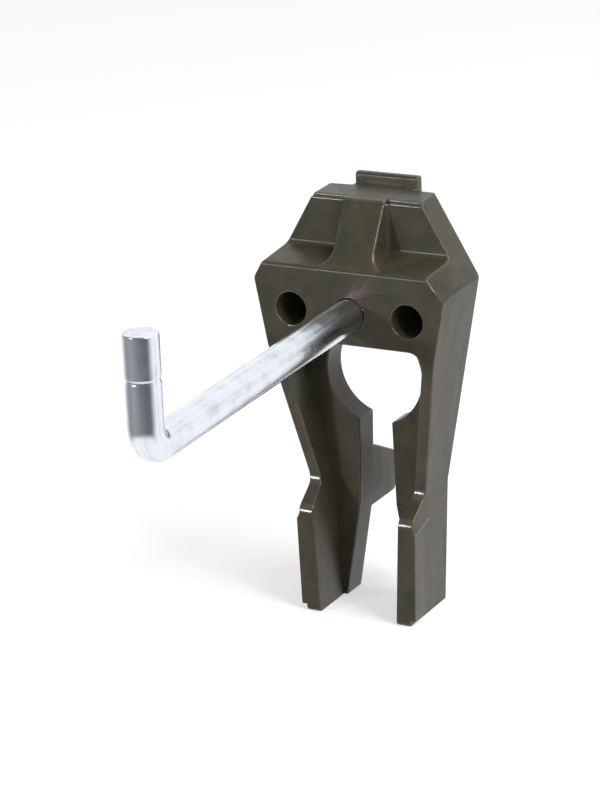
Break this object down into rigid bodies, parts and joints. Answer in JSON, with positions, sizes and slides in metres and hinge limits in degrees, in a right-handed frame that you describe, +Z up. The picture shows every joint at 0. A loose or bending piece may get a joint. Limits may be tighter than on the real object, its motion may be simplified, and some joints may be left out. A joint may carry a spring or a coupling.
{
  "type": "perforated panel hook",
  "caption": "Clip-on tool hook for a square-hole perforated panel: moulded clip with squeeze-to-release spring arms and a bent steel rod.",
  "frame": {"origin": "in the clip's flat rear face that lies on the panel, level with the middle of the sockets in the front plate", "axes": "+X to the right seen from the front, +Y into the panel, -Y to the front, where the rod points, +Z up"},
  "size_m": [0.0286, 0.073, 0.0604],
  "materials": {
    "clip_plastic": "satin moulded",
    "zinc_steel": "bright zinc plated"
  },
  "bodies": {
    "clip": {"clip_body": "clip_plastic", "hook_rod": "zinc_steel"},
    "left_arm": {"left_spring_arm": "clip_plastic"},
    "right_arm": {"right_spring_arm": "clip_plastic"}
  },
  "joints": [
    {"name": "left_squeeze", "type": "hinge", "parent": "clip", "child": "left_arm", "pos_m": [-0.00945, 0, -0.0104], "axis": [0, -1, 0], "range_deg": [0, 6], "stiffness_Nm_per_rad": 2.5},
    {"name": "right_squeeze", "type": "hinge", "parent": "clip", "child": "right_arm", "pos_m": [0.00945, 0, -0.0104], "axis": [0, 1, 0], "range_deg": [0, 6], "stiffness_Nm_per_rad": 2.5}
  ]
}
